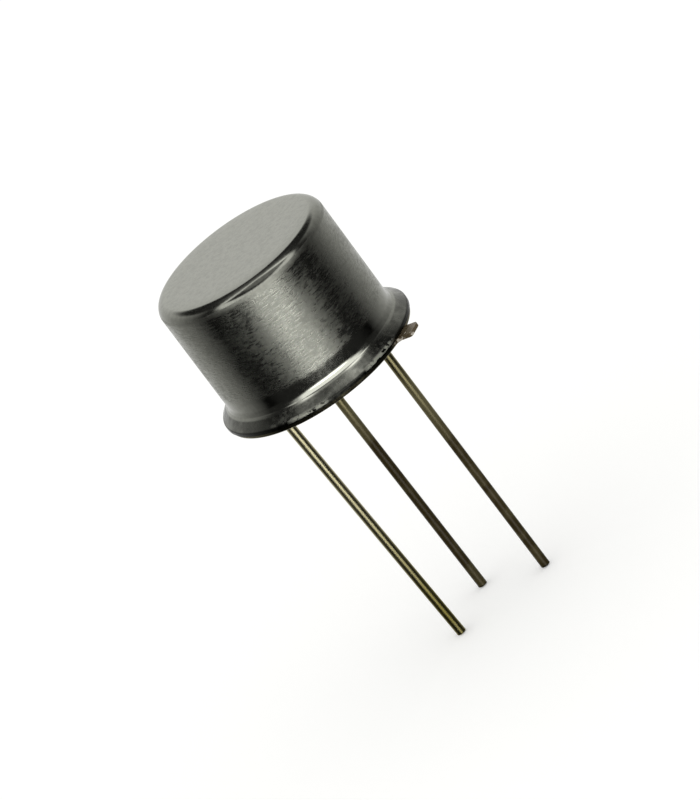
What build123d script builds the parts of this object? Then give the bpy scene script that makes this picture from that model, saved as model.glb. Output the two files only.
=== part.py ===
"""A three-lead metal-can transistor, in millimetres.

The origin is the centre of the seating plane, the flat underside of the header's flange. +Z runs up
through the cap, and the leads hang down to -Z. Seen from above, the emitter, base and collector leads
stand a quarter turn apart, anticlockwise from +X.
"""

import os
from math import cos, radians, sin, tan

from build123d import *

# Cap: a drawn nickel cup turned over the header, with a flared skirt that ends in a welded rim
cap_diameter = 8.2
cap_sheet = 0.25
can_height = 6.28  # seating plane to the top of the cap
crown_flat_diameter = 6.0  # flat middle of the top
crown_fall = 0.03  # how far the top drops from its flat middle to the corner
crown_blend_radius = 7.0  # easy curve where the flat middle starts to drop
corner_radius = 0.5
crown_inner_radius = 0.25
skirt_top = 0.92  # height at which the straight wall meets the skirt
skirt_throat_radius = 0.3  # hollow curve between the wall and the skirt
rim_diameter = 9.3
rim_thickness = 0.15
rim_land = 0.28  # width of the flat ring under the rim, which is welded to the header
rim_edge_round = 0.05

# Header: a stamped eyelet with a flat flange, an index tab and a raised platform
header_diameter = 9.15
header_thickness = 0.19
header_edge_round = 0.06
eyelet_clearance = 0.07  # between the eyelet and the bore of the cap
eyelet_wall = 0.3
eyelet_root_radius = 0.12
eyelet_corner_radius = 0.35
eyelet_inner_radius = 0.15
platform_height = 1.6
platform_thickness = 0.5
mouth_radius = 0.35  # rolled edge of the eyelet's open underside
tab_width = 0.86
tab_reach = 0.74  # from the flange's edge to the end of the tab
tab_angle = -45.0  # from the emitter lead, on the side away from the base lead
tab_root_radius = 0.22
tab_corner_radius = 0.16

# Glass: fills the eyelet from below and seals the two insulated leads where they pass the platform
feedthrough_diameter = 1.1
glass_recess = 0.06  # how far the glass stops short of the seating plane and the platform's top
meniscus_diameter = 0.95
meniscus_depth = 0.1

# Leads: round wires on one circle, each with a slight set below the glass, all towards +X
lead_diameter = 0.43
lead_circle_diameter = 5.08
lead_length = 13.53  # seating plane to the lead's tip
post_height = 0.6  # how far the insulated leads stand above the platform
set_depth = 0.6  # where a lead starts to lean, below the seating plane
set_radius = 3.0
tip_round = 0.07
emitter_lean_angle = 0.7
base_lean_angle = 1.2
collector_lean_angle = 2.8
emitter_angle = 0.0
base_angle = 90.0
collector_angle = 180.0

# Chip: its emitter and base contacts are two metal combs whose fingers lie between each other
die_side = 1.3
die_thickness = 0.2
solder_margin = 0.12
solder_thickness = 0.04
comb_thickness = 0.01
comb_length = 1.1
spine_width = 0.3
spine_offset = 0.42  # centre of the die to the middle of a comb's spine
finger_length = 0.48
finger_width = 0.05
finger_pitch = 0.2
emitter_fingers = 5
base_fingers = 4

# Bond wires, from the combs to the two insulated leads
bond_wire_diameter = 0.1
emitter_foot_offset = 0.3  # along the spine, towards the emitter lead
foot_length = 0.3
foot_width = 0.18
foot_thickness = 0.06
emitter_loop_height = 0.5  # top of the loop above its foot on the post
base_loop_height = 0.4
loop_bend_radius = 0.3
loop_end_radius = 0.08  # where the wire turns up out of its foot
loop_rise_share = 0.2  # where the loop reaches its top, as a share of the way to the post
loop_fall_share = 0.65  # where it starts down

# Sizes that follow from those above
cap_radius = cap_diameter / 2
cap_bore_radius = cap_radius - cap_sheet
rim_radius = rim_diameter / 2
rim_top = header_thickness + rim_thickness
header_radius = header_diameter / 2
eyelet_radius = cap_bore_radius - eyelet_clearance
eyelet_bore_radius = eyelet_radius - eyelet_wall
platform_underside = platform_height - platform_thickness
lead_radius = lead_diameter / 2
lead_circle_radius = lead_circle_diameter / 2
post_top = platform_height + post_height
solder_side = die_side + 2 * solder_margin
die_base = platform_height + solder_thickness
comb_base = die_base + die_thickness
comb_top = comb_base + comb_thickness
bond_wire_radius = bond_wire_diameter / 2


def around(radius, angle, height=0.0):
    """The point at a radius and an angle about Z, at a height."""
    return Vector(radius * cos(radians(angle)), radius * sin(radians(angle)), height)


def build_cap():
    """Revolves the cup's wall: outside down from the crown, across the land, and up the inside."""
    skirt_slope = (skirt_top - rim_top) / (rim_radius - cap_radius)
    land_radius = rim_radius - rim_land
    skirt_top_inside = header_thickness + skirt_slope * (land_radius - cap_bore_radius)
    crown_flat_radius = crown_flat_diameter / 2
    corner_height = can_height - crown_fall
    with BuildPart() as cap:
        with BuildSketch(Plane.XZ):
            with BuildLine():
                FilletPolyline(
                    (0, can_height),
                    (crown_flat_radius, can_height),
                    (cap_radius, corner_height),
                    (cap_radius, skirt_top),
                    (rim_radius, rim_top),
                    (rim_radius, header_thickness),
                    (land_radius, header_thickness),
                    (cap_bore_radius, skirt_top_inside),
                    (cap_bore_radius, corner_height - cap_sheet),
                    (crown_flat_radius, can_height - cap_sheet),
                    (0, can_height - cap_sheet),
                    radius=[
                        crown_blend_radius,
                        corner_radius,
                        skirt_throat_radius,
                        rim_edge_round,
                        0,
                        0,
                        skirt_throat_radius,
                        crown_inner_radius,
                        crown_blend_radius,
                    ],
                )
                Line((0, can_height - cap_sheet), (0, can_height))
            make_face()
        revolve(axis=Axis.Z)
    cap.part.label = "cap"
    return cap.part


def hollow_section():
    """The section of the eyelet's hollow, under the platform and out over the rolled edge of its mouth."""
    mouth_end = eyelet_bore_radius + 2 * mouth_radius
    with BuildSketch(Plane.XZ) as section:
        with BuildLine():
            FilletPolyline(
                (0, platform_underside),
                (eyelet_bore_radius, platform_underside),
                (eyelet_bore_radius, 0),
                (mouth_end, 0),
                radius=[eyelet_inner_radius, mouth_radius],
            )
            Polyline(
                (mouth_end, 0),
                (mouth_end, -mouth_radius),
                (0, -mouth_radius),
                (0, platform_underside),
            )
        make_face()
    return section.sketch


def build_header():
    """Joins the stamped flange and its tab to the revolved eyelet, then opens the two feedthroughs."""
    tab_heading = emitter_angle + tab_angle
    tab_end = header_radius + tab_reach
    root_end = eyelet_radius + 2 * eyelet_root_radius
    with BuildPart() as header:
        with BuildSketch() as flange:
            Circle(header_radius)
            with Locations(Rotation(0, 0, tab_heading)):
                Rectangle(tab_end, tab_width, align=(Align.MIN, Align.CENTER))
            corners = flange.vertices().sort_by_distance(around(tab_end, tab_heading))[0:2]
            fillet(corners, tab_corner_radius)
            roots = flange.vertices().sort_by_distance(around(header_radius, tab_heading))[0:2]
            fillet(roots, tab_root_radius)
        extrude(amount=header_thickness)
        fillet(header.faces().sort_by(Axis.Z)[0].outer_wire().edges(), header_edge_round)
        with BuildSketch(Plane.XZ):
            with BuildLine():
                FilletPolyline(
                    (0, platform_height),
                    (eyelet_radius, platform_height),
                    (eyelet_radius, header_thickness),
                    (root_end, header_thickness),
                    radius=[eyelet_corner_radius, eyelet_root_radius],
                )
                Polyline(
                    (root_end, header_thickness),
                    (root_end, header_thickness / 2),
                    (0, header_thickness / 2),
                    (0, platform_height),
                )
            make_face()
        revolve(axis=Axis.Z)
        revolve(hollow_section(), axis=Axis.Z, mode=Mode.SUBTRACT)
        with Locations(
            around(lead_circle_radius, emitter_angle, platform_height),
            around(lead_circle_radius, base_angle, platform_height),
        ):
            Hole(feedthrough_diameter / 2, platform_height)
    header.part.label = "header"
    return header.part


def build_lead(name, angle, lean_angle, top):
    """Carries the wire's round section down, round its slight set, and on to the tip."""
    foot = around(lead_circle_radius, angle)
    lean_plane = Plane(origin=foot, x_dir=(1, 0, 0), z_dir=(0, -1, 0))
    drift = (lead_length - set_depth) * tan(radians(lean_angle))
    with BuildPart() as lead:
        with BuildLine(lean_plane) as path:
            FilletPolyline((0, top), (0, -set_depth), (drift, -lead_length), radius=set_radius)
        with BuildSketch(Plane(origin=foot + Vector(0, 0, top), z_dir=(0, 0, -1))):
            Circle(lead_radius)
        sweep(path=path.wires()[0])
        fillet(lead.edges().sort_by(Axis.Z)[0], tip_round)
    lead.part.label = name
    return lead.part


def build_glass(leads):
    """Fills the eyelet round the leads, and lets a small meniscus climb down each of them."""
    collar_radius = meniscus_diameter / 2
    plug_height = platform_height - 2 * glass_recess
    with BuildPart() as glass:
        revolve(hollow_section(), axis=Axis.Z)
        split(bisect_by=Plane.XY.offset(glass_recess), keep=Keep.TOP)
        for angle in (emitter_angle, base_angle):
            with BuildSketch(Plane(around(lead_circle_radius, angle, glass_recess))):
                Circle(feedthrough_diameter / 2)
            extrude(amount=plug_height)
        for angle in (emitter_angle, base_angle, collector_angle):
            foot = around(lead_circle_radius, angle)
            with BuildSketch(Plane(origin=foot, x_dir=(1, 0, 0), z_dir=(0, -1, 0))):
                with BuildLine():
                    cove = TangentArc(
                        (collar_radius, glass_recess),
                        (lead_radius, glass_recess - meniscus_depth),
                        tangent=(-1, 0),
                    )
                    Polyline(
                        cove @ 1,
                        (0, glass_recess - meniscus_depth),
                        (0, glass_recess + meniscus_depth),
                        (collar_radius, glass_recess + meniscus_depth),
                        cove @ 0,
                    )
                make_face()
            revolve(axis=Axis(foot, (0, 0, 1)))
        for lead in leads:
            add(lead, mode=Mode.SUBTRACT)
    glass.part.label = "glass_seal"
    return glass.part


def comb_outline(spine_side, fingers):
    """One contact comb: a spine along an edge of the die, with its fingers towards the other edge."""
    spine_y = spine_side * spine_offset
    fingers_y = spine_side * (spine_offset - (spine_width + finger_length) / 2)
    with BuildSketch(Plane.XY.offset(comb_base)) as comb:
        with Locations((0, spine_y)):
            Rectangle(comb_length, spine_width)
        with Locations((0, fingers_y)):
            with GridLocations(finger_pitch, 0, fingers, 1):
                Rectangle(finger_width, finger_length)
    return comb.sketch


def build_solder():
    """The thin layer that the die is soldered down with."""
    with BuildPart() as solder:
        with BuildSketch(Plane.XY.offset(platform_height)):
            RectangleRounded(solder_side, solder_side, solder_margin)
        extrude(amount=solder_thickness)
    solder.part.label = "die_solder"
    return solder.part


def build_die():
    """The chip, with the base comb along its edge by the base lead and the emitter comb opposite."""
    with BuildPart() as die:
        with BuildSketch(Plane.XY.offset(die_base)):
            Rectangle(die_side, die_side)
        extrude(amount=die_thickness)
        extrude(comb_outline(1, base_fingers), amount=comb_thickness)
        extrude(comb_outline(-1, emitter_fingers), amount=comb_thickness)
    die.part.label = "silicon_die"
    return die.part


def build_bond_wire(name, pad, post, loop_height):
    """Loops a wire from its flattened foot on the die's comb, over, and down to its foot on the post."""
    across = Vector(post.X - pad.X, post.Y - pad.Y, 0)
    heading = across.normalized()
    half_run = (foot_length - foot_width) / 2
    die_level = foot_thickness
    post_level = post.Z - pad.Z + foot_thickness
    peak = post_level + loop_height
    leaves_die = half_run
    meets_post = across.length - half_run
    span = meets_post - leaves_die
    with BuildPart() as wire:
        with BuildLine(Plane(origin=pad, x_dir=heading, z_dir=heading.cross(Vector(0, 0, 1)))) as path:
            FilletPolyline(
                (-half_run, die_level),
                (leaves_die, die_level),
                (leaves_die + loop_rise_share * span, peak),
                (leaves_die + loop_fall_share * span, peak),
                (meets_post, post_level),
                (across.length + half_run, post_level),
                radius=[loop_end_radius, loop_bend_radius, loop_bend_radius, loop_end_radius],
            )
        route = path.wires()[0]
        with BuildSketch(Plane(origin=route @ 0, z_dir=route % 0)):
            Circle(bond_wire_radius)
        sweep(path=route)
        for foot in (pad, post):
            with BuildSketch(Plane(origin=foot, x_dir=heading)):
                SlotOverall(foot_length, foot_width)
            extrude(amount=foot_thickness)
    wire.part.label = name
    return wire.part


header = build_header()
emitter_lead = build_lead("emitter_lead", emitter_angle, emitter_lean_angle, post_top)
base_lead = build_lead("base_lead", base_angle, base_lean_angle, post_top)
collector_lead = build_lead(
    "collector_lead", collector_angle, collector_lean_angle, platform_underside
)
emitter_pad = Vector(emitter_foot_offset, -spine_offset, comb_top)
base_pad = Vector(0, spine_offset, comb_top)
emitter_post = around(lead_circle_radius, emitter_angle, post_top)
base_post = around(lead_circle_radius, base_angle, post_top)
pieces = [
    build_cap(),
    header,
    build_glass([emitter_lead, base_lead, collector_lead]),
    emitter_lead,
    base_lead,
    collector_lead,
    build_solder(),
    build_die(),
    build_bond_wire("emitter_wire", emitter_pad, emitter_post, emitter_loop_height),
    build_bond_wire("base_wire", base_pad, base_post, base_loop_height),
]

os.makedirs("parts", exist_ok=True)
for piece in pieces:
    export_step(piece, f"parts/{piece.label}.step")
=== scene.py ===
"""Dresses a packed metal-can transistor: smooth shells, finishes, a plain studio and the camera.

Every length is in metres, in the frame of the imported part: +Z up through the cap, and the origin in the
middle of the seating plane.
"""

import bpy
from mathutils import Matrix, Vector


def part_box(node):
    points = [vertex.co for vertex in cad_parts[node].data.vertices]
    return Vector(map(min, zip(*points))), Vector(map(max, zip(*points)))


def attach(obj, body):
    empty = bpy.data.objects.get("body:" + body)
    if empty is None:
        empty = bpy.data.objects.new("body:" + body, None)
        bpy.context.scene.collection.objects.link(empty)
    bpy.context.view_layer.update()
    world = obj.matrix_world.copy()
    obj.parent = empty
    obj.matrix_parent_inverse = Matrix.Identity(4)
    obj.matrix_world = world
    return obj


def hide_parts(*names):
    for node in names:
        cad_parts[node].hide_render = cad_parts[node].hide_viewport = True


bl_info = {
    "name": "Metal-can transistor",
    "version": (1, 0, 0),
    "blender": (4, 5, 0),
    "location": "3D View > Sidebar > Transistor",
    "description": "Builds the outer pieces of a metal-can transistor, their finishes and the studio",
    "category": "Object",
}

from math import atan2, cos, pi, radians, sin, tan

import bpy
import numpy as np
from bpy.props import FloatProperty, FloatVectorProperty, PointerProperty
from mathutils import Matrix, Vector

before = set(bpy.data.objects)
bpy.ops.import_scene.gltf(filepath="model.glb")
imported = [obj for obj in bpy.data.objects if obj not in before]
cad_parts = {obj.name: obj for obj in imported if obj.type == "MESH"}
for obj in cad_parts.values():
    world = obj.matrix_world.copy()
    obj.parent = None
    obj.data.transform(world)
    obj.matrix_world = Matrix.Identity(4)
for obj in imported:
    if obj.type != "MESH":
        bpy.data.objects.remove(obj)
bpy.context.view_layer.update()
cap_low, cap_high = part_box("cap")
header_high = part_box("header")[1]
lead_box = {name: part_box(name) for name in ("emitter_lead", "base_lead", "collector_lead")}

MM = 0.001
LEAD_CIRCLE_RADIUS = 2.54 * MM
EMITTER_ANGLE = 0.0
BASE_ANGLE = pi / 2
COLLECTOR_ANGLE = pi
TAB_ANGLE = -pi / 4
# From the part's axis to the middle of the tab's heat tint, in millimetres
HEATED_RADIUS = 5.0
# Edges that turn more than this are shaded sharp
SHARP = radians(35)
# The glow that lifts the paper to white, the sheet's width and how far it lies under the lead tips
PAPER_LIFT = 0.14
SHEET_WIDTH = 1200 * MM
SHEET_GAP = 0.02 * MM
CARDS_RADIUS = 1.2
RING_ELEVATION = radians(55)
# How much the strip over the ring brightens and bends down towards its ends
STRIP_GAIN = 2.6
STRIP_BEND = 0.64
# Sideways and upward middle, half width and half height, and how soft the edge is: the ring's lit and
# unlit ovals and the card in its middle, and then the softbox
RING_OVALS = (
    (0.0, -0.18, 0.76, 0.72, 0.16),
    (0.0, 0.35, 0.58, 0.76, 0.16),
    (0.14, 0.2, 0.36, 0.42, 0.5),
)
SOFTBOX_OVAL = (radians(2), radians(-6), radians(24.5), radians(9), 1.0)


def from_hex(code):
    """The linear colour of an sRGB hex code, by the sRGB curve, with full alpha."""
    channels = np.array([int(code[i : i + 2], 16) for i in (0, 2, 4)]) / 255
    linear = np.where(channels <= 0.04045, channels / 12.92, ((channels + 0.055) / 1.055) ** 2.4)
    return (*linear.tolist(), 1.0)


def length(name, description, millimetres):
    """A property for a length, given in millimetres and kept in metres."""
    return FloatProperty(
        name=name, description=description, default=millimetres * MM, unit="LENGTH", precision=6
    )


def colour(name, description, code):
    """A property for a colour, given as sRGB hex and kept linear."""
    return FloatVectorProperty(
        name=name, description=description, default=from_hex(code), size=4, subtype="COLOR", min=0, max=1
    )


class CapSizes(bpy.types.PropertyGroup):
    """The drawn cap: a straight wall, a rounded corner, a flared skirt and a thin rim."""

    diameter: length("Diameter", "Across the straight wall", 8.2)
    sheet: length("Sheet", "Thickness of the drawn sheet", 0.25)
    flat_diameter: length("Flat of the top", "Across the flat middle of the top", 6.6)
    crown_fall: length("Crown fall", "How far the top drops from its middle to the corner", 0.05)
    crown_blend: length("Crown blend", "Radius where the top starts to drop", 9.0)
    corner: length("Corner", "Outside radius between the top and the wall", 0.5)
    inner_corner: length("Inner corner", "Inside radius between the top and the wall", 0.25)
    skirt_top: length("Skirt top", "Height where the wall starts to lean out", 0.97)
    flare: length("Flare", "How far the wall leans out before the skirt turns off", 0.06)
    flare_foot: length("Flare foot", "Height where the skirt turns off", 0.785)
    flare_round: length("Flare round", "Radius where the wall starts to lean out", 0.5)
    skirt_root: length("Skirt root", "Radius where the skirt turns off", 0.12)
    throat: length("Throat", "Radius of the hollow inside the skirt", 0.3)
    rim_diameter: length("Rim diameter", "Across the rim", 9.3)
    rim_thickness: length("Rim thickness", "Thickness of the rim at its edge", 0.15)
    rim_land: length("Land", "Width of the flat ring under the rim", 0.28)
    rim_round: length("Rim edge", "Radius of the rim's upper edge", 0.05)


class HeaderSizes(bpy.types.PropertyGroup):
    """The stamped eyelet: a flat flange with a tab, and a raised platform that the cap hides."""

    diameter: length("Diameter", "Across the flange", 9.15)
    edge_round: length("Edge", "Radius of the flange's lower edge", 0.06)
    thickness: length("Thickness", "Thickness of the flange", 0.19)
    clearance: length("Clearance", "Gap between the eyelet and the bore of the cap", 0.07)
    wall: length("Wall", "Thickness of the eyelet's wall", 0.3)
    root: length("Root", "Radius where the eyelet rises from the flange", 0.12)
    corner: length("Corner", "Outside radius of the platform", 0.35)
    inner_corner: length("Inner corner", "Inside radius under the platform", 0.15)
    platform: length("Platform", "Thickness of the platform", 0.5)
    mouth: length("Mouth", "Radius of the rolled edge of the open underside", 0.35)
    feedthrough: length("Feedthrough", "Diameter of the two holes in the platform", 1.1)
    tab_width: length("Tab width", "Across the index tab", 0.86)
    tab_reach: length("Tab reach", "From the flange's edge to the end of the tab", 0.74)
    tab_corner: length("Tab corner", "Radius of the tab's corners", 0.16)
    tab_root: length("Tab root", "Radius where the tab springs from the flange", 0.22)


class GlassSizes(bpy.types.PropertyGroup):
    """The fused glass: a flat fill with a small meniscus on each lead."""

    recess: length("Recess", "How far the glass stops short of the seating plane", 0.06)
    collar: length("Collar", "Diameter of the meniscus round a lead", 0.95)
    climb: length("Climb", "How far the meniscus climbs down a lead", 0.1)


class LeadSizes(bpy.types.PropertyGroup):
    """The three round wires."""

    diameter: length("Diameter", "Thickness of the wire", 0.43)
    set_depth: length("Set depth", "Where a lead starts to lean, below the seating plane", 0.6)
    set_radius: length("Set radius", "Radius of the slight bend there", 3.0)
    tip_round: length("Tip", "Radius of the cut end's edge", 0.07)
    emitter_lean: FloatProperty(
        name="Emitter lean", description="Lean towards +X", default=radians(0.7), subtype="ANGLE"
    )
    base_lean: FloatProperty(
        name="Base lean", description="Lean towards +X", default=radians(1.2), subtype="ANGLE"
    )
    collector_lean: FloatProperty(
        name="Collector lean", description="Lean towards +X", default=radians(2.8), subtype="ANGLE"
    )


class Finishes(bpy.types.PropertyGroup):
    """The colours of the metals and the glass."""

    nickel: colour("Nickel", "Satin nickel of the cap", "b3b4a9")
    gold: colour("Gold", "Dull gold plate of the header", "86826a")
    wire_bright: colour("Bright wire", "Gold plate of the collector lead", "e6deb2")
    # Darker colour that the collector lead turns to towards its tip
    wire_dull: colour("Dull wire", "Worn plate towards the tip of the collector lead", "93894c")
    # Painted shade: the emitter and base leads' plate is a darker copy of the collector's, for the shade they
    # stand in
    wire_gold_shaded: colour("Wire gold", "Gold plate of the other two leads", "a59d74")
    # Darker, browner colour that the emitter and base leads turn to towards their tips
    wire_brown: colour("Tarnish", "Brown tarnish towards their tips", "33290b")
    heat_brown: colour("Heat tint", "Brown heat tint on the tab", "7a6d56")
    glass: colour("Glass", "Sealing glass", "1c211d")
    solder: colour("Solder", "Solder under the chip", "9b9a96")
    silicon: colour("Silicon", "Polished silicon", "3c4048")
    aluminium: colour("Aluminium", "Combs and bond wires", "d5d3cf")


class Studio(bpy.types.PropertyGroup):
    """The camera, and the cards that the metal mirrors."""

    camera_azimuth: FloatProperty(
        name="Azimuth", description="Camera's bearing from +X", default=radians(-95.353), subtype="ANGLE"
    )
    camera_elevation: FloatProperty(
        name="Elevation",
        description="Camera above the seating plane",
        default=radians(21.355),
        subtype="ANGLE",
    )
    camera_roll: FloatProperty(
        name="Roll", description="Turn about the line of sight", default=radians(-36.648), subtype="ANGLE"
    )
    camera_distance: length("Distance", "From the aim to the camera", 250.0)
    focal_length: FloatProperty(
        name="Focal length", description="Focal length of the lens", default=269.2, unit="CAMERA"
    )
    aim: FloatVectorProperty(
        name="Aim",
        description="Point in the middle of the picture",
        default=(0.1157 * MM, -0.7042 * MM, -1.7657 * MM),
        unit="LENGTH",
        precision=6,
    )
    backdrop: FloatProperty(
        name="Backdrop", description="How much of the white world shows behind the part", default=0.85, min=0
    )
    softbox: FloatProperty(name="Softbox", description="Brightness of the low softbox", default=3.2, min=0)
    ring: FloatProperty(name="Ring", description="Brightness of the ring light", default=0.88, min=0)
    hub: FloatProperty(name="Hub", description="Brightness inside the ring", default=0.2, min=0)
    strip: FloatProperty(
        name="Strip", description="Brightness of the strip over the ring", default=0.42, min=0
    )
    shade: FloatProperty(name="Shade", description="Brightness of the dark side cards", default=0.025, min=0)


class TransistorSettings(bpy.types.PropertyGroup):
    """Everything that can be set on the transistor and its studio."""

    cap: PointerProperty(type=CapSizes)
    header: PointerProperty(type=HeaderSizes)
    glass: PointerProperty(type=GlassSizes)
    leads: PointerProperty(type=LeadSizes)
    finishes: PointerProperty(type=Finishes)
    studio: PointerProperty(type=Studio)


# Shapes


def rounded(corners, radii, step=radians(3), guard=0.02 * MM):
    """A profile through the given corners, as an array of points, with a round of its radius at each inner
    corner. A round's centre lies on the corner's bisector, as far out as its radius over the cosine of half
    the turn, and a point stands close by each end of a run, so that the shading bends only in the round."""
    corners = np.array(corners, float)
    rounds = []
    for before, at, after, radius in zip(corners, corners[1:], corners[2:], radii):
        heading = (at - before) / np.linalg.norm(at - before)
        leaving = (after - at) / np.linalg.norm(after - at)
        turn = atan2(heading[0] * leaving[1] - heading[1] * leaving[0], heading @ leaving)
        reach = radius * tan(abs(turn) / 2)
        count = max(int(np.ceil(abs(turn) / step)), 1) if radius else 0
        side = np.sign(turn) * np.array([-heading[1], heading[0]])
        swing = np.linspace(0, abs(turn), count + 1)[:, None]
        start = at - reach * heading
        rounds.append(start + radius * (np.sin(swing) * heading + (1 - np.cos(swing)) * side))
    stops = [corners[:1], *rounds, corners[-1:]]
    points = []
    for this, following in zip(stops, stops[1:]):
        run = following[0] - this[-1]
        share = min(guard / max(np.linalg.norm(run), guard / 4), 0.25)
        points += [this, this[-1] + share * run, following[0] - share * run]
    return np.vstack([*points, stops[-1]])


def sheet_mesh(name, grid):
    """A closed mesh from a grid of points, rows by columns. The columns join up into rings, and the first
    and last rows each close to one point, their middle, by a fan."""
    rows, columns = grid.shape[:2]
    index = np.arange(rows * columns).reshape(rows, columns)
    beside = np.roll(index, -1, axis=1)
    quads = np.stack([index[:-1], index[1:], beside[1:], beside[:-1]], axis=-1).reshape(-1, 4)
    poles = np.array([rows * columns, rows * columns + 1])
    first = np.stack([np.full(columns, poles[0]), index[0], beside[0]], axis=-1)
    last = np.stack([np.full(columns, poles[1]), beside[-1], index[-1]], axis=-1)
    points = np.vstack([grid.reshape(-1, 3), grid[0].mean(0), grid[-1].mean(0)])
    mesh = bpy.data.meshes.new(name)
    mesh.from_pydata(points.tolist(), [], quads.tolist() + first.tolist() + last.tolist())
    mesh.set_sharp_from_angle(angle=SHARP)
    piece = bpy.data.objects.new(name, mesh)
    bpy.context.collection.objects.link(piece)
    return piece


def revolved(profile, columns=360):
    """The grid of a profile of radius and height turned about Z: x and y are the radius times the cosine
    and the sine of the turn."""
    turn = np.linspace(0, 2 * pi, columns, endpoint=False)
    radius, height = profile[:, :1], profile[:, 1:]
    return np.stack([radius * np.cos(turn), radius * np.sin(turn), height + 0 * turn], axis=-1)


def rod(centre, radius, low, high, columns=96):
    """A plain round rod that stands on end: two rings, each the centre plus the radius times the cosine and
    the sine of the turn."""
    ring = revolved(np.array([(radius, high), (radius, low)]), columns)
    return sheet_mesh("rod", ring + np.array([*centre, 0]))


def combined(piece, operation, tools):
    """Cuts the tools from a piece, or joins them to it, and takes the tools away."""
    for tool in tools:
        modifier = piece.modifiers.new("combined", "BOOLEAN")
        modifier.operation = operation
        modifier.object = tool
    baked = bpy.data.meshes.new_from_object(piece.evaluated_get(bpy.context.evaluated_depsgraph_get()))
    piece.modifiers.clear()
    piece.data = baked
    baked.set_sharp_from_angle(angle=SHARP)
    if not baked.polygons:
        raise RuntimeError(f"nothing is left of {piece.name} after its {operation.lower()}")
    for tool in tools:
        bpy.data.objects.remove(tool)


def settle(piece, node, material):
    """Puts a finished piece on the body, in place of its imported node, with its material."""
    piece.data.materials.append(material)
    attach(piece, "root")
    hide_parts(node)


# Finishes


def add(tree, kind, inputs=None, **settings):
    """Adds a node, with its settings, and gives each named input a value, an output, or another node, which
    stands for the first of its outputs that is in use."""
    node = tree.nodes.new(kind)
    for name, value in settings.items():
        setattr(node, name, value)
    for name, value in (inputs or {}).items():
        if isinstance(value, bpy.types.Node):
            value = next(output for output in value.outputs if output.enabled)
        if isinstance(value, bpy.types.NodeSocket):
            tree.links.new(value, node.inputs[name])
        else:
            node.inputs[name].default_value = value
    return node


def zone(tree, *steps):
    """How far a point lies inside a zone: the product of smooth steps, each given as a value, where on it the
    zone starts and where the zone is whole."""
    first, *others = [
        add(
            tree,
            "ShaderNodeMapRange",
            {"Value": value, "From Min": starts, "From Max": whole},
            interpolation_type="SMOOTHSTEP",
        )
        for value, starts, whole in steps
    ]
    inside = first
    for step in others:
        inside = add(tree, "ShaderNodeMath", {0: inside, 1: step}, operation="MULTIPLY")
    return inside


def empty_tree(owner):
    """The node tree of a material or a world, with nothing in it."""
    owner.use_nodes = True
    owner.node_tree.nodes.clear()
    return owner.node_tree


def new_material(name):
    """An empty node material and its tree, with the part's own coordinates in millimetres."""
    material = bpy.data.materials.new(name)
    tree = empty_tree(material)
    own = add(tree, "ShaderNodeTexCoord").outputs["Object"]
    return material, tree, add(tree, "ShaderNodeMapping", {"Vector": own, "Scale": (1 / MM,) * 3})


def times(factor, shade):
    """A linear colour times a factor, with full alpha."""
    return (*[factor * channel for channel in shade[:3]], 1.0)


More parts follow.
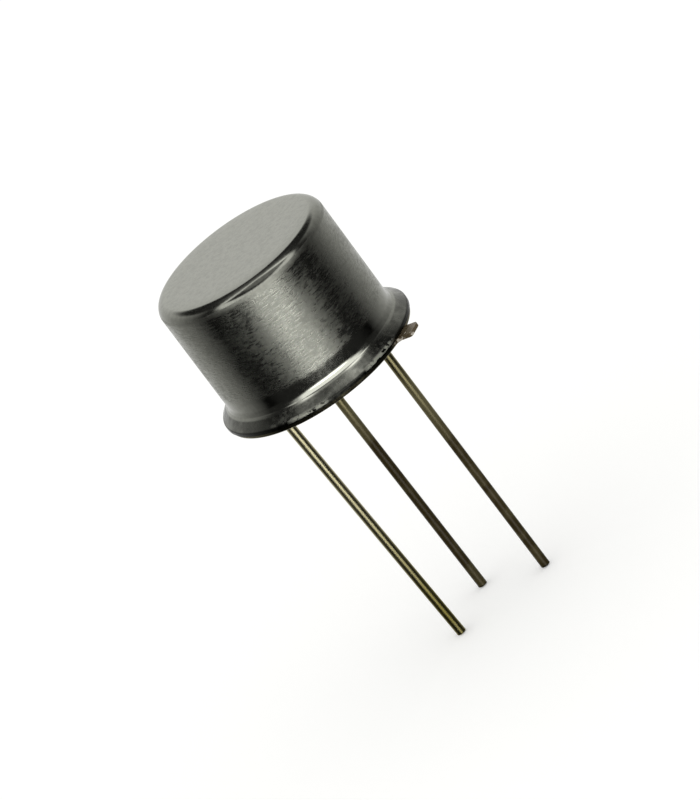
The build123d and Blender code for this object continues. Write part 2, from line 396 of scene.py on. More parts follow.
def satin_nickel(finishes):
    """Nickel-plated drawn steel, tumbled to a satin.

    Tumbling leaves short fine scratches that run round the can. They smear a light up and down the wall
    into a soft bright column full of streaks, and leave a smooth band above the skirt, where the tumbling
    doesn't reach. The top is evenly matt, and the weld has left the rim dull. The flare carries a painted
    highlight, the skirt is darker in patches, and the rim is painted near black as the shadow of its seam,
    with painted highlights on its edge."""
    material, tree, millimetres = new_material("satin_nickel")
    axes = add(tree, "ShaderNodeSeparateXYZ", {"Vector": millimetres}).outputs
    height = axes["Z"]
    across = add(tree, "ShaderNodeMath", {0: axes["X"]}, operation="ABSOLUTE")
    around = add(tree, "ShaderNodeVectorMath", {0: (0, 0, 1), 1: millimetres}, operation="CROSS_PRODUCT")
    # Scratches 0.3 mm long round the can and 0.06 mm apart up it. The real ones are finer still, too fine
    # to show, so these are drawn coarser.
    stretched = add(tree, "ShaderNodeMapping", {"Vector": millimetres, "Scale": (3.0, 3.0, 15.0)})
    scratches = add(
        tree, "ShaderNodeTexNoise", {"Vector": stretched, "Scale": 1.0, "Detail": 3.0, "Roughness": 0.8}
    )
    # Grit marks 0.2 mm apart, which is all that the top shows
    grit = add(
        tree, "ShaderNodeTexNoise", {"Vector": millimetres, "Scale": 5.0, "Detail": 3.0, "Roughness": 0.6}
    )
    # Handling clouds the satin in patches about 1.5 mm wide
    clouds = add(tree, "ShaderNodeTexNoise", {"Vector": millimetres, "Scale": 0.8, "Detail": 3.0})
    brushed = zone(tree, (height, 6.0, 5.88), (height, 1.4, 1.7))
    shoulder = zone(tree, (height, 5.7, 5.84), (height, 5.97, 5.9))
    skirt_zone = (height, 0.72, 0.66)
    skirt = zone(tree, skirt_zone)
    # The skirt is darker in cloudy patches
    darker_skirt = zone(tree, skirt_zone, (clouds, 0.72, 0.46))
    # Painted highlight: the flare above the skirt is brightened on the front and on the back, standing in for
    # the bright streak the light makes there
    flare_highlight = zone(tree, (across, 1.9, 1.6), (height, 0.7, 0.74), (height, 1.0, 0.95))
    # Painted shadow: the rim is painted near black, the shade that falls in the seam between cap and header
    rim = zone(tree, (height, 0.4, 0.34))
    # Painted highlights: the rim's edge is brightened in grit-shaped spots either side of the middle, on the
    # front and on the back
    rim_glints = zone(
        tree,
        (height, 0.44, 0.38),
        (height, 0.24, 0.28),
        (across, 0.8, 1.3),
        (across, 3.0, 2.4),
        (grit, 0.4, 0.5),
    )
    mixed = add(tree, "ShaderNodeMath", {0: clouds, 1: 0.5, 2: scratches}, operation="MULTIPLY_ADD")
    scratched, pitted, welded = (
        add(
            tree,
            "ShaderNodeMapRange",
            {"Value": value, "From Min": low, "From Max": high, "To Min": smooth, "To Max": rough},
        )
        for value, low, high, smooth, rough in (
            (mixed, 0.58, 0.92, 0.12, 0.5),
            (grit, 0.35, 0.65, 0.13, 0.17),
            (grit, 0.35, 0.65, 0.14, 0.36),
        )
    )
    roughness = pitted
    for share, finish in ((brushed, scratched), (shoulder, 0.45), (skirt, welded), (rim_glints, 0.7)):
        roughness = add(tree, "ShaderNodeMix", {"Factor": share, "A": roughness, "B": finish})
    smear = add(tree, "ShaderNodeMath", {0: brushed, 1: 0.85}, operation="MULTIPLY")
    marks = add(tree, "ShaderNodeMix", {"Factor": brushed, "A": grit, "B": scratches})
    strength = add(tree, "ShaderNodeMapRange", {"Value": brushed, "To Min": 0.12, "To Max": 1.0})
    relief = add(
        tree, "ShaderNodeBump", {"Strength": strength, "Distance": 0.009 * MM, "Height": marks}
    )
    # The colour is the nickel's own, dimmed a little by dirt in the grit marks and then zone by zone:
    # a painted highlight on the flare, a darker skirt, a painted shadow on the rim and painted highlights on
    # its edge
    clean = add(tree, "ShaderNodeMapRange", {"Value": grit, "From Min": 0.3, "From Max": 0.6})
    shade = times(0.82, finishes.nickel)
    for share, factor in ((clean, 1.0), (flare_highlight, 1.8), (darker_skirt, 0.38), (rim, 0.1), (rim_glints, 1.5)):
        shade = add(
            tree,
            "ShaderNodeMix",
            {"Factor": share, "A": shade, "B": times(factor, finishes.nickel)},
            data_type="RGBA",
        )
    shader = add(
        tree,
        "ShaderNodeBsdfPrincipled",
        {
            "Base Color": shade,
            "Metallic": 1.0,
            "Roughness": roughness,
            "Anisotropic": smear,
            "Anisotropic Rotation": 0.25,
            "Tangent": around,
            "Normal": relief,
        },
    )
    add(tree, "ShaderNodeOutputMaterial", {"Surface": shader})
    return material


def plated_gold(finishes):
    """Gold flash over nickel on a stamped header, browned where the weld's heat reached the tab. It looks
    dull and blotchy, and the tab carries small painted highlights in spots."""
    material, tree, millimetres = new_material("plated_gold")
    # Blotches about 0.6 mm wide, grain 0.08 mm, and glint spots 0.3 mm
    blotches = add(tree, "ShaderNodeTexNoise", {"Vector": millimetres, "Scale": 1.6, "Detail": 4.0})
    grain = add(tree, "ShaderNodeTexNoise", {"Vector": millimetres, "Scale": 12.0, "Detail": 3.0})
    glint_spots = add(tree, "ShaderNodeTexNoise", {"Vector": millimetres, "Scale": 3.4, "Detail": 2.0})
    tab_middle = (-HEATED_RADIUS * cos(TAB_ANGLE), -HEATED_RADIUS * sin(TAB_ANGLE), 0)
    offset = add(tree, "ShaderNodeMapping", {"Vector": millimetres, "Location": tab_middle})
    away = add(tree, "ShaderNodeVectorMath", {0: offset}, operation="LENGTH")
    heated = zone(tree, (away, 1.2, 0.5))
    # The tint is a skin of oxide, which is only partly metal
    metal = add(tree, "ShaderNodeMath", {0: heated, 1: -0.45, 2: 1.0}, operation="MULTIPLY_ADD")
    tinted = add(
        tree,
        "ShaderNodeMix",
        {"Factor": heated, "A": finishes.gold, "B": finishes.heat_brown},
        data_type="RGBA",
    )
    blotched = add(
        tree,
        "ShaderNodeMix",
        {"Factor": blotches, "A": from_hex("cec8bf"), "B": from_hex("ffffff")},
        data_type="RGBA",
    )
    shade = add(
        tree,
        "ShaderNodeMix",
        {"Factor": 1.0, "A": tinted, "B": blotched},
        data_type="RGBA",
        blend_type="MULTIPLY",
    )
    # Painted highlights: small bright cream spots on the tab stand in for glints of light on it
    tab_glints = zone(tree, (glint_spots, 0.58, 0.62), (away, 1.2, 0.5))
    shade = add(
        tree,
        "ShaderNodeMix",
        {"Factor": tab_glints, "A": shade, "B": from_hex("efe6d6")},
        data_type="RGBA",
    )
    roughness = add(
        tree,
        "ShaderNodeMapRange",
        {"Value": blotches, "From Min": 0.3, "From Max": 0.7, "To Min": 0.12, "To Max": 0.24},
    )
    relief = add(tree, "ShaderNodeBump", {"Strength": 0.4, "Distance": 0.004 * MM, "Height": grain})
    shader = add(
        tree,
        "ShaderNodeBsdfPrincipled",
        {"Base Color": shade, "Metallic": metal, "Roughness": roughness, "Normal": relief},
    )
    add(tree, "ShaderNodeOutputMaterial", {"Surface": shader})
    return material


def drawn_gold_wire(name, plate, tip_colour, browns_from, browns_to, matt_share):
    """Gold-plated drawn wire. Its plate is bright by the header and turns dull and brown down the lead.

    Drawing lines smear a light along it, and where it darkens towards the tip it is in part matt and no
    longer metal."""
    material, tree, millimetres = new_material(name)
    height = add(tree, "ShaderNodeSeparateXYZ", {"Vector": millimetres}).outputs["Z"]
    # Drawing lines run along the wire, and handling marks cross it every millimetre or so
    lines = add(tree, "ShaderNodeMapping", {"Vector": millimetres, "Scale": (14.0, 14.0, 1.2)})
    drawn = add(tree, "ShaderNodeTexNoise", {"Vector": lines, "Scale": 1.0, "Detail": 3.0})
    patches = add(tree, "ShaderNodeTexNoise", {"Vector": millimetres, "Scale": 1.1, "Detail": 4.0})
    uneven, roughness = (
        add(
            tree,
            "ShaderNodeMapRange",
            {"Value": patches, "From Min": 0.3, "From Max": 0.7, "To Min": low, "To Max": high},
        )
        for low, high in ((0.85, 1.1), (0.26, 0.34))
    )
    depth = zone(tree, (height, browns_from, browns_to))
    tip_fade = add(tree, "ShaderNodeMath", {0: depth, 1: uneven}, operation="MULTIPLY", use_clamp=True)
    shade = add(tree, "ShaderNodeMix", {"Factor": tip_fade, "A": plate, "B": tip_colour}, data_type="RGBA")
    metal = 1.0
    if matt_share:
        metal = add(tree, "ShaderNodeMath", {0: tip_fade, 1: -matt_share, 2: 1.0}, operation="MULTIPLY_ADD")
    relief = add(tree, "ShaderNodeBump", {"Strength": 0.3, "Distance": 0.003 * MM, "Height": drawn})
    outward = add(tree, "ShaderNodeNewGeometry").outputs["Normal"]
    around = add(tree, "ShaderNodeVectorMath", {0: (0, 0, 1), 1: outward}, operation="CROSS_PRODUCT")
    shader = add(
        tree,
        "ShaderNodeBsdfPrincipled",
        {
            "Base Color": shade,
            "Metallic": metal,
            "Roughness": roughness,
            "Anisotropic": 0.8,
            "Anisotropic Rotation": 0.25,
            "Tangent": around,
            "Normal": relief,
        },
    )
    add(tree, "ShaderNodeOutputMaterial", {"Surface": shader})
    return material


def fused_glass(finishes):
    """Dark borosilicate sealing glass, fused in place, so its skin is smooth with a few tiny bubbles."""
    material, tree, millimetres = new_material("fused_sealing_glass")
    # Bubbles about 0.2 mm apart, and a swirl of the melt about 0.8 mm wide
    bubbles = add(tree, "ShaderNodeTexVoronoi", {"Vector": millimetres, "Scale": 5.0})
    swirl = add(tree, "ShaderNodeTexNoise", {"Vector": millimetres, "Scale": 1.3, "Detail": 3.0})
    pits = zone(tree, (bubbles, 0.05, 0.16))
    shade = add(
        tree,
        "ShaderNodeMix",
        {"Factor": swirl, "A": times(0.55, finishes.glass), "B": times(1.5, finishes.glass)},
        data_type="RGBA",
    )
    relief = add(tree, "ShaderNodeBump", {"Strength": 0.35, "Distance": 0.01 * MM, "Height": pits})
    shader = add(
        tree,
        "ShaderNodeBsdfPrincipled",
        {"Base Color": shade, "Roughness": 0.08, "IOR": 1.48, "Normal": relief},
    )
    add(tree, "ShaderNodeOutputMaterial", {"Surface": shader})
    return material


def chip_finish(name, base, metallic, low, high, scale):
    """A plain material for the chip. Its roughness varies from low to high in specks, about so many to the
    millimetre as its scale says, and its colour a little with them."""
    material, tree, millimetres = new_material(name)
    specks = add(tree, "ShaderNodeTexNoise", {"Vector": millimetres, "Scale": scale, "Detail": 3.0})
    roughness = add(
        tree,
        "ShaderNodeMapRange",
        {"Value": specks, "From Min": 0.3, "From Max": 0.7, "To Min": low, "To Max": high},
    )
    shade = add(
        tree, "ShaderNodeMix", {"Factor": specks, "A": times(0.85, base), "B": base}, data_type="RGBA"
    )
    shader = add(
        tree,
        "ShaderNodeBsdfPrincipled",
        {"Base Color": shade, "Metallic": metallic, "Roughness": roughness},
    )
    add(tree, "ShaderNodeOutputMaterial", {"Surface": shader})
    return material


# Pieces


class TRANSISTOR_OT_cap(bpy.types.Operator):
    """Build the cap: one profile, outside down from the crown and up the inside, turned about Z"""

    bl_idname = "transistor.cap"
    bl_label = "Cap"

    def execute(self, context):
        sizes = context.scene.transistor.cap
        wall = sizes.diameter / 2
        bore = wall - sizes.sheet
        rim = sizes.rim_diameter / 2
        top = cap_high.z
        rim_bottom = cap_low.z
        rim_top = rim_bottom + sizes.rim_thickness
        corner = top - sizes.crown_fall
        flat = sizes.flat_diameter / 2
        land = rim - sizes.rim_land
        slope = (sizes.skirt_top - rim_top) / (rim - wall)
        profile = rounded(
            [
                (0, top),
                (flat, top),
                (wall, corner),
                (wall, sizes.skirt_top),
                (wall + sizes.flare, sizes.flare_foot),
                (rim, rim_top),
                (rim, rim_bottom),
                (land, rim_bottom),
                (bore, rim_bottom + slope * (land - bore)),
                (bore, corner - sizes.sheet),
                (flat, top - sizes.sheet),
                (0, top - sizes.sheet),
            ],
            [
                sizes.crown_blend,
                sizes.corner,
                sizes.flare_round,
                sizes.skirt_root,
                sizes.rim_round,
                0,
                0,
                sizes.throat,
                sizes.inner_corner,
                sizes.crown_blend,
            ],
        )
        cap = sheet_mesh("cap_shell", revolved(profile[1:-1]))
        settle(cap, "cap", satin_nickel(context.scene.transistor.finishes))
        return {"FINISHED"}


def flange_outline(sizes, radius, columns=480):
    """The flange's outline, pointing its tab along +X: a circle, and a tab with rounded corners and roots.

    A root's centre stands the tab's half width plus its own radius to the side, and the flange's radius plus
    its own from the middle. The points go round to the left from the back, evenly spaced on the circle."""
    half, root, corner = sizes.tab_width / 2, sizes.tab_root, sizes.tab_corner
    reach = radius + sizes.tab_reach
    centre = np.array([np.sqrt((radius + root) ** 2 - (half + root) ** 2), half + root])
    start = atan2(centre[1], centre[0])
    swing = np.linspace(start + pi, 1.5 * pi, 13)[:, None]
    bend = centre + root * np.hstack([np.cos(swing), np.sin(swing)])
    side = rounded([bend[-1], (reach, half), (reach, 0)], [corner], guard=0.05 * MM)
    left = np.vstack([bend, side[1:]])
    right = left[-2::-1] * (1, -1)
    turn = np.linspace(start, 2 * pi - start, columns)[1:-1, None]
    circle = radius * np.hstack([np.cos(turn), np.sin(turn)])
    return np.vstack([circle, right[::-1], left[::-1]])


class TRANSISTOR_OT_header(bpy.types.Operator):
    """Build the header: one section from the platform down, round the flange's outline and up inside"""

    bl_idname = "transistor.header"
    bl_label = "Header"

    def execute(self, context):
        settings = context.scene.transistor
        sizes = settings.header
        eyelet = settings.cap.diameter / 2 - settings.cap.sheet - sizes.clearance
        bore = eyelet - sizes.wall
        flange = sizes.diameter / 2
        top = header_high.z
        outline = flange_outline(sizes, flange)
        tab = np.array([[cos(TAB_ANGLE), sin(TAB_ANGLE)], [-sin(TAB_ANGLE), cos(TAB_ANGLE)]])
        outline = outline @ tab
        along = np.roll(outline, -1, axis=0) - np.roll(outline, 1, axis=0)
        outward = np.stack([along[:, 1], -along[:, 0]], axis=1) / np.linalg.norm(along, axis=1)[:, None]
        unit = outline / np.linalg.norm(outline, axis=1)[:, None]
        over = rounded(
            [
                (0, top),
                (eyelet, top),
                (eyelet, sizes.thickness),
                (eyelet + 2 * sizes.root, sizes.thickness),
            ],
            [sizes.corner, sizes.root],
            step=radians(6),
        )[1:]
        under = rounded(
            [(bore + 2 * sizes.mouth, 0), (bore, 0), (bore, top - sizes.platform), (0, top - sizes.platform)],
            [sizes.mouth, sizes.inner_corner],
            step=radians(6),
        )[:-1]
        inset = 0.1 * MM
        edge = rounded(
            [(-inset, sizes.thickness), (0, sizes.thickness), (0, 0), (-inset, 0)],
            [0, sizes.edge_round],
            step=radians(6),
        )
        rings = [
            *((radius * unit, height) for radius, height in over),
            *((outline + out * outward, height) for out, height in edge),
            *((radius * unit, height) for radius, height in under),
        ]
        grid = np.stack([np.c_[ring, np.full(len(ring), height)] for ring, height in rings])
        header = sheet_mesh("header_shell", grid)
        # The cutters run from under the platform to above it
        past = 0.5 * MM
        holes = [
            rod(
                (LEAD_CIRCLE_RADIUS * cos(angle), LEAD_CIRCLE_RADIUS * sin(angle)),
                sizes.feedthrough / 2,
                past,
                top + past,
            )
            for angle in (EMITTER_ANGLE, BASE_ANGLE)
        ]
        combined(header, "DIFFERENCE", holes)
        settle(header, "header", plated_gold(settings.finishes))
        return {"FINISHED"}


class TRANSISTOR_OT_glass(bpy.types.Operator):
    """Build the glass: a disc whose underside dips to a meniscus at each lead, and a plug in each hole.

    A meniscus is a round that leaves the flat level and meets the lead: its drop is its radius less the
    square root of its radius squared less the way in squared."""

    bl_idname = "transistor.glass"
    bl_label = "Glass"

    def execute(self, context):
        settings = context.scene.transistor
        sizes, header = settings.glass, settings.header
        bore = settings.cap.diameter / 2 - settings.cap.sheet - header.clearance - header.wall
        top = header_high.z - header.platform
        roll = np.arcsin(1 - sizes.recess / header.mouth)
        swing = np.linspace(0, roll, 16)[:, None]
        mouth = np.hstack([bore + header.mouth * (1 - np.cos(swing)), header.mouth * (1 - np.sin(swing))])
        upper = rounded([(0, top), (bore, top), (bore, header.mouth)], [header.inner_corner])
        flat = np.linspace(mouth[-1, 0], 0, 130)[1:-1, None]
        profile = np.vstack([upper[1:-1], mouth, np.hstack([flat, np.full_like(flat, sizes.recess)])])
        grid = revolved(profile)
        lead = settings.leads.diameter / 2
        inward = sizes.collar / 2 - lead
        cove = (inward**2 + sizes.climb**2) / (2 * sizes.climb)
        lead_feet = LEAD_CIRCLE_RADIUS * np.array(
            [(cos(angle), sin(angle)) for angle in (EMITTER_ANGLE, BASE_ANGLE, COLLECTOR_ANGLE)]
        )
        underside = grid[len(upper) - 2 + len(mouth) :]
        away = np.linalg.norm(underside[:, :, None, :2] - lead_feet, axis=-1).min(axis=-1)
        way_in = np.clip(sizes.collar / 2 - away, 0, inward)
        underside[:, :, 2] -= cove - np.sqrt(cove**2 - way_in**2)
        glass = sheet_mesh("sealing_glass", grid)
        overlap = 0.2 * MM
        plugs = [
            rod(foot, header.feedthrough / 2, top - overlap, header_high.z - sizes.recess)
            for foot in lead_feet[:2]
        ]
        combined(glass, "UNION", plugs)
        settle(glass, "glass_seal", fused_glass(settings.finishes))
        return {"FINISHED"}


class TRANSISTOR_OT_leads(bpy.types.Operator):
    """Build the leads: a circle carried down a straight, round the slight set and on to a rounded tip"""

    bl_idname = "transistor.leads"
    bl_label = "Leads"

    def execute(self, context):
        settings = context.scene.transistor
        sizes = settings.leads
        finishes = settings.finishes
        # gold is the emitter and base leads' plate darkened as painted shade; brown is what they darken to
        # towards their tips
        gold, brown = finishes.wire_gold_shaded, finishes.wire_brown
        bright, dull = finishes.wire_bright, finishes.wire_dull
        wires = (
            ("emitter_lead", EMITTER_ANGLE, sizes.emitter_lean, (gold, brown, -1.5, -6.5, 0.85)),
            ("base_lead", BASE_ANGLE, sizes.base_lean, (gold, brown, -1.0, -6.0, 0.85)),
            ("collector_lead", COLLECTOR_ANGLE, sizes.collector_lean, (bright, dull, -3.0, -13.0, 0.0)),
        )
        for node, angle, lean, finish in wires:
            low, high = lead_box[node]
            end = low.z + (sizes.diameter / 2 - sizes.tip_round) * sin(lean)
            route = rounded(
                [(0, high.z), (0, -sizes.set_depth), ((-sizes.set_depth - end) * tan(lean), end)],
                [sizes.set_radius],
                step=radians(0.25),
            )
            run = np.gradient(route, axis=0)
            heading = run / np.linalg.norm(run, axis=1)[:, None]
            radius = np.full(len(route), sizes.diameter / 2)
            # The tip's edge is a quarter round: along the wire its rings near the end by the sine of the
            # swing, and their radius falls by one less its cosine
            swing = np.linspace(0, pi / 2, 12)
            round_off = sizes.tip_round
            tip = route[-1] - heading[-1] * round_off * (1 - np.sin(swing))[:, None]
            route = np.vstack([route[:-1], tip])
            heading = np.vstack([heading[:-1], np.repeat(heading[-1:], len(swing), axis=0)])
            radius = np.append(radius[:-1], sizes.diameter / 2 - round_off * (1 - np.cos(swing)))
            turn = np.linspace(0, 2 * pi, 64, endpoint=False)
            out = radius[:, None] * np.cos(turn)
            foot = LEAD_CIRCLE_RADIUS * np.array([cos(angle), sin(angle)])
            grid = np.stack(
                [
                    foot[0] + route[:, :1] - heading[:, 1:] * out,
                    foot[1] + radius[:, None] * np.sin(turn),
                    route[:, 1:] + heading[:, :1] * out,
                ],
                axis=-1,
            )
            wire = sheet_mesh(node + "_wire", grid)
            settle(wire, node, drawn_gold_wire("drawn_gold_wire_" + node, *finish))
        return {"FINISHED"}


class TRANSISTOR_OT_chip(bpy.types.Operator):
    """Dress the chip, its solder and its bond wires, which stay as packed inside the cap"""

    bl_idname = "transistor.chip"
    bl_label = "Chip"

    def execute(self, context):
        finishes = context.scene.transistor.finishes
        # Polished silicon gleams dark and smooth, tin-lead solder is dull and grainy, and drawn aluminium
        # is bright
        silicon = chip_finish("polished_silicon", finishes.silicon, 0.3, 0.08, 0.14, 6.0)
        solder = chip_finish("tin_lead_solder", finishes.solder, 1.0, 0.35, 0.5, 5.0)
        aluminium = chip_finish("drawn_aluminium", finishes.aluminium, 1.0, 0.22, 0.34, 14.0)
        dressed = {
            "silicon_die": silicon,
            "die_solder": solder,
            "emitter_wire": aluminium,
            "base_wire": aluminium,
        }
        for node, material in dressed.items():
            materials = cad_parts[node].data.materials
            materials.clear()
            materials.append(material)
        return {"FINISHED"}


# Studio


def oval(tree, vector, y, z, half_width, half_height, edge):
    """How far a direction lies inside an oval: 1 within it and 0 outside, over an edge as a share of it."""
    fitted = add(
        tree,
        "ShaderNodeMapping",
        {
            "Vector": vector,
            "Location": (0, -y / half_width, -z / half_height),
            "Scale": (0, 1 / half_width, 1 / half_height),
        },
    )
    out = add(tree, "ShaderNodeVectorMath", {0: fitted}, operation="LENGTH")
    return zone(tree, (out, 1 + edge / 2, 1 - edge / 2))


class TRANSISTOR_OT_stage(bpy.types.Operator):
    """Set up the camera, the white sheet under the part and the cards round it"""

    bl_idname = "transistor.stage"
    bl_label = "Stage"

    def execute(self, context):
        studio = context.scene.transistor.studio
        self.place_camera(context, studio)
        self.lay_sheet(context)
        self.light_world(context)
        self.hang_cards(studio)
        context.scene.view_settings.view_transform = "Standard"
        return {"FINISHED"}

    def place_camera(self, context, studio):
        """Looks at the aim from the camera's bearing and elevation, turned about the line of sight."""
        azimuth, elevation = studio.camera_azimuth, studio.camera_elevation
        back = Vector((cos(elevation) * cos(azimuth), cos(elevation) * sin(azimuth), sin(elevation)))
        right = Vector((-sin(azimuth), cos(azimuth), 0))
        level = Matrix((right, back.cross(right), back)).transposed()
        camera = bpy.data.objects.new("camera", bpy.data.cameras.new("camera"))
        camera.data.lens = studio.focal_length
        camera.data.sensor_width = 36.0
        camera.data.clip_start = 5 * MM
        camera.matrix_world = Matrix.Translation(
            Vector(studio.aim) + studio.camera_distance * back
        ) @ (level @ Matrix.Rotation(studio.camera_roll, 3, "Z")).to_4x4()
        context.collection.objects.link(camera)
        context.scene.camera = camera

    def lay_sheet(self, context):
        """A plain white sheet just under the lead tips. It keeps the part's soft shadow."""
        level = min(low.z for low, _ in lead_box.values()) - SHEET_GAP
        half = SHEET_WIDTH / 2
        corners = [(-half, -half, level), (half, -half, level), (half, half, level), (-half, half, level)]
        mesh = bpy.data.meshes.new("white_sheet")
        mesh.from_pydata(corners, [], [(0, 1, 2, 3)])
        sheet = bpy.data.objects.new("white_sheet", mesh)
        context.collection.objects.link(sheet)
        # Matt paper, lifted to the white of the world behind it. From below it is clear, to show the glass.
        material = bpy.data.materials.new("matt_paper")
        tree = empty_tree(material)
        path = add(tree, "ShaderNodeLightPath").outputs
        seen = path["Is Camera Ray"]
        for ray in ("Is Glossy Ray", "Is Transmission Ray"):
            seen = add(tree, "ShaderNodeMath", {0: seen, 1: path[ray]}, operation="MAXIMUM")
        lift = add(tree, "ShaderNodeMath", {0: seen, 1: PAPER_LIFT}, operation="MULTIPLY")
        paper = add(tree, "ShaderNodeBsdfDiffuse", {"Color": from_hex("f4f4f2")})
        glow = add(tree, "ShaderNodeEmission", {"Strength": lift})
        both = add(tree, "ShaderNodeAddShader", {0: paper, 1: glow})
        clear = add(tree, "ShaderNodeBsdfTransparent")
        below = add(tree, "ShaderNodeNewGeometry").outputs["Backfacing"]
        sided = add(tree, "ShaderNodeMixShader", {0: below, 1: both, 2: clear})
        add(tree, "ShaderNodeOutputMaterial", {"Surface": sided})
        mesh.materials.append(material)
        sheet.visible_glossy = False

    def light_world(self, context):
        """A plain white world at a strength of 1: the background, and the soft light on everything."""
        world = bpy.data.worlds.new("white_world")
        context.scene.world = world
        tree = empty_tree(world)
        world.cycles.sampling_method = "NONE"
        white = add(tree, "ShaderNodeBackground", {"Color": from_hex("ffffff"), "Strength": 1.0})
        add(tree, "ShaderNodeOutputWorld", {"Surface": white})

    def hang_cards(self, studio):
        """Hangs a round of cards about the part, as a photographer does round polished metal.

        It is a globe painted by direction: dark by the camera, clear behind the part, where the white world
        shows in the metal as well, and black over that. A ring light, a strip and a low softbox stand in
        front. Only mirrors see it, so it neither lights nor shades what is matt. Its points are the radius
        times the cosine and the sine of the rise, turned about Z."""
        rise = np.linspace(pi / 2, -pi / 2, 61)[1:-1, None]
        globe = sheet_mesh("cards", revolved(CARDS_RADIUS * np.hstack([np.cos(rise), np.sin(rise)]), 120))
        material = bpy.data.materials.new("black_card")
        tree = empty_tree(material)
        own = add(tree, "ShaderNodeTexCoord").outputs["Object"]
        direction = add(tree, "ShaderNodeVectorMath", {0: own}, operation="NORMALIZE")
        facing = add(
            tree, "ShaderNodeMapping", {"Vector": direction, "Rotation": (0, 0, -studio.camera_azimuth)}
        )
        axes = add(tree, "ShaderNodeSeparateXYZ", {"Vector": facing}).outputs
        bearing = add(tree, "ShaderNodeMath", {0: axes["Y"], 1: axes["X"]}, operation="ARCTAN2")
        aside = add(tree, "ShaderNodeMath", {0: bearing}, operation="ABSOLUTE")
        # Clear behind the part: from nothing at 81 degrees off the camera to the most right behind, and a
        # little less higher up
        fades = add(
            tree,
            "ShaderNodeMapRange",
            {
                "Value": axes["Z"],
                "From Min": -0.4,
                "From Max": 0.4,
                "To Min": studio.backdrop,
                "To Max": 0.89 * studio.backdrop,
            },
        )
        behind = add(
            tree,
            "ShaderNodeMapRange",
            {"Value": aside, "From Min": radians(81), "From Max": pi, "To Max": fades},
        )
        # The black card over it comes down to about 29 degrees up behind the part, and less far at the sides
        sloped = add(
            tree, "ShaderNodeMath", {0: axes["X"], 1: -0.265, 2: axes["Z"]}, operation="MULTIPLY_ADD"
        )
        under = zone(tree, (sloped, 0.80, 0.66))
        clear = add(tree, "ShaderNodeMath", {0: behind, 1: under}, operation="MULTIPLY")
        # A ring light looks down on the part from 55 degrees up in front: an oval that is lit, less one that
        # isn't, with a dimmer card in its middle
        tipped = add(tree, "ShaderNodeMapping", {"Vector": facing, "Rotation": (0, RING_ELEVATION, 0)})
        tipped_axes = add(tree, "ShaderNodeSeparateXYZ", {"Vector": tipped}).outputs
        lit, unlit, hub = (oval(tree, tipped, *shape) for shape in RING_OVALS)
        ring = add(tree, "ShaderNodeMath", {0: lit, 1: unlit}, operation="SUBTRACT", use_clamp=True)
        # A strip of light crosses over the ring, bent down and brighter towards its ends
        sideways = add(tree, "ShaderNodeMath", {0: tipped_axes["Y"]}, operation="ABSOLUTE")
        ends, bent = (
            add(tree, "ShaderNodeMath", {0: sideways, 1: gain, 2: start}, operation="MULTIPLY_ADD")
            for gain, start in ((STRIP_GAIN, 1.0), (STRIP_BEND, tipped_axes["Z"]))
        )
        strip = add(
            tree, "ShaderNodeMath", {0: zone(tree, (bent, 0.74, 0.65)), 1: ends}, operation="MULTIPLY"
        )
        # A dimmer card behind the strip's middle, which the flat top shows from above
        ceiling = zone(tree, (bent, 1.08, 0.66), (sideways, 0.5, 0.25))
        strip = add(tree, "ShaderNodeMath", {0: ceiling, 1: 0.5, 2: strip}, operation="MULTIPLY_ADD")
        reach = zone(tree, (bent, 0.46, 0.55), (sideways, 0.62, 0.5))
        strip = add(tree, "ShaderNodeMath", {0: strip, 1: reach}, operation="MULTIPLY")
        level = studio.shade
        for card, brightness in ((ring, studio.ring), (hub, studio.hub), (strip, studio.strip)):
            level = add(
                tree, "ShaderNodeMath", {0: card, 1: brightness, 2: level}, operation="MULTIPLY_ADD"
            )
        in_front = zone(tree, (tipped_axes["X"], -0.2, 0.0))
        level = add(tree, "ShaderNodeMath", {0: level, 1: in_front}, operation="MULTIPLY")
        # Softbox: a low wide oval in front, brightest in its middle
        elevation = add(tree, "ShaderNodeMath", {0: axes["Z"]}, operation="ARCSINE")
        spread = add(tree, "ShaderNodeCombineXYZ", {"Y": bearing, "Z": elevation})
        softbox = oval(tree, spread, *SOFTBOX_OVAL)
        level = add(
            tree, "ShaderNodeMath", {0: softbox, 1: studio.softbox, 2: level}, operation="MULTIPLY_ADD"
        )
        glow = add(tree, "ShaderNodeEmission", {"Strength": level})
        open_air = add(tree, "ShaderNodeBsdfTransparent")
        hung = add(tree, "ShaderNodeMixShader", {0: clear, 1: glow, 2: open_air})
        add(tree, "ShaderNodeOutputMaterial", {"Surface": hung})
        globe.data.materials.append(material)
        globe.visible_camera = False
        globe.visible_transmission = False
        globe.visible_diffuse = False
        globe.visible_shadow = False


class TRANSISTOR_PT_panel(bpy.types.Panel):
    """The transistor's pieces and its studio, in the 3D view's sidebar"""

    bl_idname = "TRANSISTOR_PT_panel"
    bl_label = "Transistor"
    bl_space_type = "VIEW_3D"
    bl_region_type = "UI"
    bl_category = "Transistor"

    def draw(self, context):
        for operator in operators:
            self.layout.operator(operator.bl_idname)


property_groups = (CapSizes, HeaderSizes, GlassSizes, LeadSizes, Finishes, Studio, TransistorSettings)
operators = (
    TRANSISTOR_OT_stage,
    TRANSISTOR_OT_cap,
    TRANSISTOR_OT_header,
    TRANSISTOR_OT_glass,
    TRANSISTOR_OT_leads,
    TRANSISTOR_OT_chip,
)


def register():
    """Registers the classes, and hangs the settings on the scene."""
    for part in (*property_groups, *operators, TRANSISTOR_PT_panel):
        bpy.utils.register_class(part)
    bpy.types.Scene.transistor = PointerProperty(type=TransistorSettings)


def unregister():
    """Takes the settings and the classes away again."""
    del bpy.types.Scene.transistor
    for part in reversed((*property_groups, *operators, TRANSISTOR_PT_panel)):
        bpy.utils.unregister_class(part)


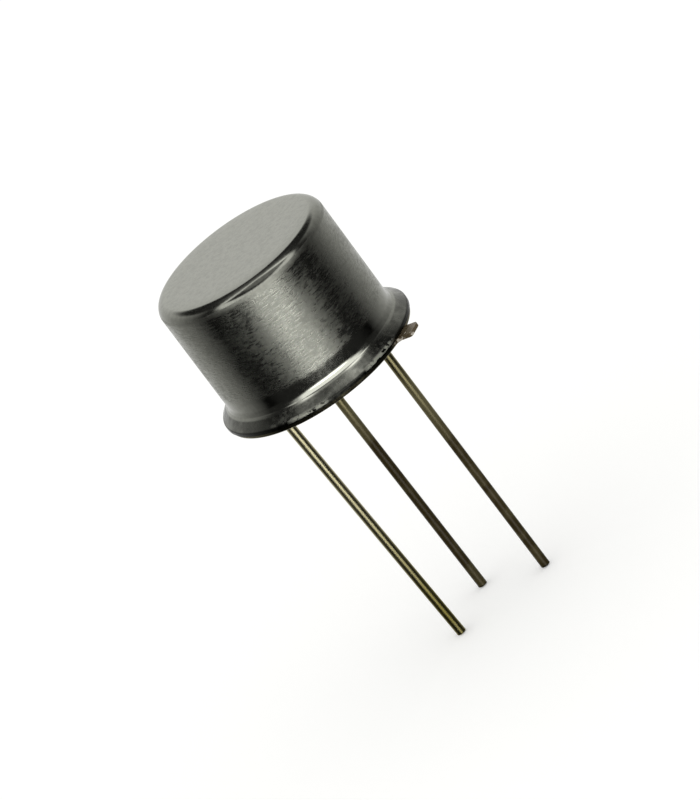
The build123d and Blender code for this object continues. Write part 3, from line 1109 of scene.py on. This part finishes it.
def main():
    """Builds everything in order."""
    register()
    bpy.ops.transistor.stage()
    bpy.ops.transistor.cap()
    bpy.ops.transistor.header()
    bpy.ops.transistor.glass()
    bpy.ops.transistor.leads()
    bpy.ops.transistor.chip()


if __name__ == "__main__":
    main()
